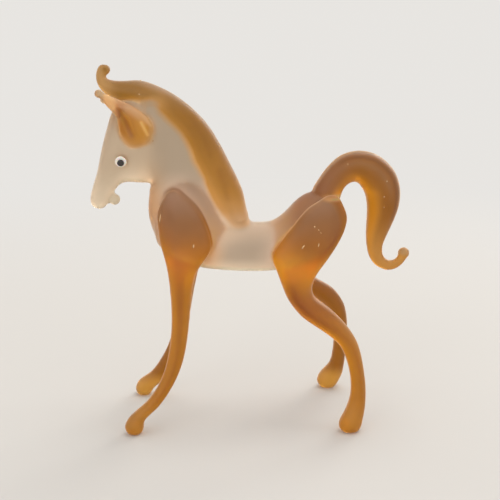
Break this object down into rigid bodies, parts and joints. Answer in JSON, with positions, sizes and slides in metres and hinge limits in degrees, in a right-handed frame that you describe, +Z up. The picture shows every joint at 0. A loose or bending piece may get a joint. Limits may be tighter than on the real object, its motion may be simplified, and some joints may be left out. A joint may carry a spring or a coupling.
{
  "type": "glass horse figurine",
  "caption": "Lampworked frosted glass horse standing on splayed legs, clear body with amber legs, mane, ears and arched tail; a free-standing ornament.",
  "frame": {"origin": "on the surface that the horse stands on, under the middle of its bounding box", "axes": "+Z up, +X from the nose towards the tail, +Y across, away from the side that the picture shows"},
  "size_m": [0.0972, 0.0428, 0.1084],
  "materials": {
    "clear_glass": "frosted, slightly warm clear glass",
    "mane_glass": "frosted brownish amber glass",
    "amber_glass": "frosted amber glass",
    "white_glass": "opaque white glass dot",
    "black_glass": "glossy opaque black glass dot"
  },
  "bodies": {
    "root": {"trunk_and_neck": "clear_glass", "head": "clear_glass", "lower_lip": "clear_glass", "mane_and_forelock": "mane_glass", "tail": "amber_glass", "ear_near": "amber_glass", "ear_far": "amber_glass", "eye_white_near": "white_glass", "eye_white_far": "white_glass", "pupil_near": "black_glass", "pupil_far": "black_glass", "fore_leg_near": "amber_glass", "fore_leg_far": "amber_glass", "hind_leg_near": "amber_glass", "hind_leg_far": "amber_glass"}
  },
  "joints": []
}
